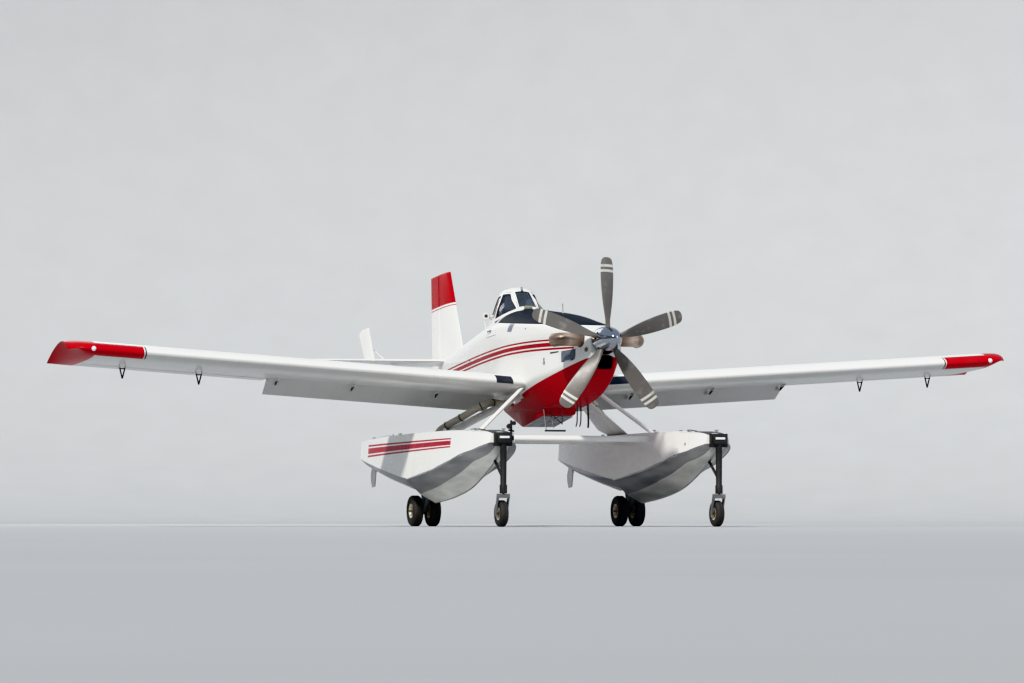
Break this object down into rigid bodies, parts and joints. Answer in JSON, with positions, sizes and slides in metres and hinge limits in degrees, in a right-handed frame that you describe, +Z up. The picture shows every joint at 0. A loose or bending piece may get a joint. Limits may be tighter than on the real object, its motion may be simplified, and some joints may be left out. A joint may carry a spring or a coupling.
{
  "type": "single-engine turboprop firefighting floatplane",
  "caption": "Low-wing single-seat turboprop aircraft on two amphibious floats, parked on its wheels, with turning propeller, control surfaces, doors and water-drop gate.",
  "frame": {"origin": "on the floor below the middle of the whole aircraft's box, on its centreline", "axes": "+X to port (the pilot's left), -Y towards the nose, +Z up; the airframe stands 3 degrees nose up on level floats"},
  "size_m": [18.04, 10.9714, 5.0195],
  "materials": {
    "white_paint": "gloss white with red bands",
    "red_paint": "gloss",
    "black_paint": "satin",
    "float_metal": "white paint over bare aluminium bottoms",
    "bare_aluminium": "brushed",
    "chrome": "polished",
    "blade": "satin grey",
    "steel": "satin",
    "exhaust_metal": "heat tinted",
    "tyre": "matt rubber",
    "glass": "clear tinted",
    "cloth": "woven seat cloth"
  },
  "bodies": {
    "airframe": {"cowl_lower": "red_paint", "cowl_upper": "white_paint", "engine": "steel", "exhaust_left": "exhaust_metal", "exhaust_right": "exhaust_metal", "hopper_bay": "white_paint", "aft_fuselage": "white_paint", "drop_gate": "red_paint", "cockpit_tub": "white_paint", "canopy_frame": "white_paint", "windscreen": "glass", "quarter_window_left": "glass", "quarter_window_right": "glass", "seat": "cloth", "instrument_panel": "black_paint", "control_stick": "black_paint", "wing_left": "white_paint", "wing_right": "white_paint", "fin": "white_paint", "stabilizer": "white_paint", "float_left": "float_metal", "float_right": "float_metal", "nose_gear_left": "black_paint", "nose_gear_right": "black_paint", "main_leg_left": "steel", "main_leg_right": "steel", "front_strut_left": "white_paint", "front_strut_right": "white_paint", "rear_strut_left": "white_paint", "rear_strut_right": "white_paint", "spreader_front": "white_paint", "spreader_rear": "white_paint"},
    "propeller_unit": {"propeller": "blade", "spinner": "chrome"},
    "cockpit_door_left": {"door_left": "white_paint", "door_window_left": "glass"},
    "cockpit_door_right": {"door_right": "white_paint", "door_window_right": "glass"},
    "drop_door_left": {"gate_door_left": "bare_aluminium"},
    "drop_door_right": {"gate_door_right": "bare_aluminium"},
    "flap_unit_left": {"flap_left": "white_paint"},
    "flap_unit_right": {"flap_right": "white_paint"},
    "aileron_unit_left": {"aileron_left": "white_paint"},
    "aileron_unit_right": {"aileron_right": "white_paint"},
    "rudder_unit": {"rudder": "white_paint"},
    "elevators": {"elevator_left": "white_paint", "elevator_right": "white_paint"},
    "caster_left": {"nose_fork_left": "steel"},
    "caster_right": {"nose_fork_right": "steel"},
    "front_wheel_left": {"nose_wheel_left": "tyre"},
    "front_wheel_right": {"nose_wheel_right": "tyre"},
    "twin_wheels_left": {"main_wheels_left": "tyre"},
    "twin_wheels_right": {"main_wheels_right": "tyre"},
    "steering_blade_left": {"water_rudder_left": "bare_aluminium"},
    "steering_blade_right": {"water_rudder_right": "bare_aluminium"}
  },
  "joints": [
    {"name": "propeller_spin", "type": "hinge", "parent": "airframe", "child": "propeller_unit", "pos_m": [0, -5.06635, 3.27802], "axis": [0, -0.9986, 0.0523], "continuous": true},
    {"name": "door_swing_left", "type": "hinge", "parent": "airframe", "child": "cockpit_door_left", "pos_m": [0.682, -0.40436, 3.52837], "axis": [0, 0.9986, -0.0523], "range_deg": [0, 150]},
    {"name": "door_swing_right", "type": "hinge", "parent": "airframe", "child": "cockpit_door_right", "pos_m": [-0.682, -0.40436, 3.52837], "axis": [0, -0.9986, 0.0523], "range_deg": [0, 150]},
    {"name": "gate_swing_left", "type": "hinge", "parent": "airframe", "child": "drop_door_left", "pos_m": [0.29, -1.83302, 1.91957], "axis": [0, -0.9874, 0.1584], "range_deg": [0, 80]},
    {"name": "gate_swing_right", "type": "hinge", "parent": "airframe", "child": "drop_door_right", "pos_m": [-0.29, -1.83302, 1.91957], "axis": [0, 0.9874, -0.1584], "range_deg": [0, 80]},
    {"name": "flap_left_drop", "type": "hinge", "parent": "airframe", "child": "flap_unit_left", "pos_m": [0.745, -0.93465, 2.30207], "axis": [-0.9978, -0.0034, -0.0658], "range_deg": [-26, 4]},
    {"name": "flap_right_drop", "type": "hinge", "parent": "airframe", "child": "flap_unit_right", "pos_m": [-0.745, -0.93465, 2.30207], "axis": [-0.9978, 0.0034, 0.0658], "range_deg": [-26, 4]},
    {"name": "aileron_left_roll", "type": "hinge", "parent": "airframe", "child": "aileron_unit_left", "pos_m": [5.06, -0.84441, 2.75684], "axis": [0.9978, 0.0034, 0.0658], "range_deg": [-17, 17]},
    {"name": "aileron_right_roll", "type": "hinge", "parent": "airframe", "child": "aileron_unit_right", "pos_m": [-5.06, -0.84441, 2.75684], "axis": [0.9978, -0.0034, -0.0658], "range_deg": [-17, 17]},
    {"name": "rudder_turn", "type": "hinge", "parent": "airframe", "child": "rudder_unit", "pos_m": [0, 4.798, 3.9627], "axis": [0, 0.0523, 0.9986], "range_deg": [-24, 24]},
    {"name": "elevator_pitch", "type": "hinge", "parent": "airframe", "child": "elevators", "pos_m": [0, 4.7937, 3.21189], "axis": [1, 0, 0], "range_deg": [-15, 28]},
    {"name": "nose_caster_left", "type": "hinge", "parent": "airframe", "child": "caster_left", "pos_m": [2, -5.26578, 0.64], "axis": [0, 0, 1], "range_deg": [-60, 60]},
    {"name": "nose_caster_right", "type": "hinge", "parent": "airframe", "child": "caster_right", "pos_m": [-2, -5.26578, 0.64], "axis": [0, 0, 1], "range_deg": [-60, 60]},
    {"name": "nose_wheel_spin_left", "type": "hinge", "parent": "caster_left", "child": "front_wheel_left", "pos_m": [2, -5.15578, 0.232], "axis": [1, 0, 0], "continuous": true},
    {"name": "nose_wheel_spin_right", "type": "hinge", "parent": "caster_right", "child": "front_wheel_right", "pos_m": [-2, -5.15578, 0.232], "axis": [1, 0, 0], "continuous": true},
    {"name": "main_wheels_spin_left", "type": "hinge", "parent": "airframe", "child": "twin_wheels_left", "pos_m": [2, -0.55578, 0.285], "axis": [1, 0, 0], "continuous": true},
    {"name": "main_wheels_spin_right", "type": "hinge", "parent": "airframe", "child": "twin_wheels_right", "pos_m": [-2, -0.55578, 0.285], "axis": [1, 0, 0], "continuous": true},
    {"name": "water_rudder_turn_left", "type": "hinge", "parent": "airframe", "child": "steering_blade_left", "pos_m": [2, 2.58922, 1.25], "axis": [0, 0, 1], "range_deg": [-30, 30]},
    {"name": "water_rudder_turn_right", "type": "hinge", "parent": "airframe", "child": "steering_blade_right", "pos_m": [-2, 2.58922, 1.25], "axis": [0, 0, 1], "range_deg": [-30, 30]}
  ],
  "couplings": [
    {"joint": "flap_right_drop", "follows": "flap_left_drop", "ratio": 1},
    {"joint": "aileron_right_roll", "follows": "aileron_left_roll", "ratio": -1},
    {"joint": "gate_swing_right", "follows": "gate_swing_left", "ratio": 1},
    {"joint": "water_rudder_turn_left", "follows": "rudder_turn", "ratio": 1.25},
    {"joint": "water_rudder_turn_right", "follows": "rudder_turn", "ratio": 1.25}
  ]
}
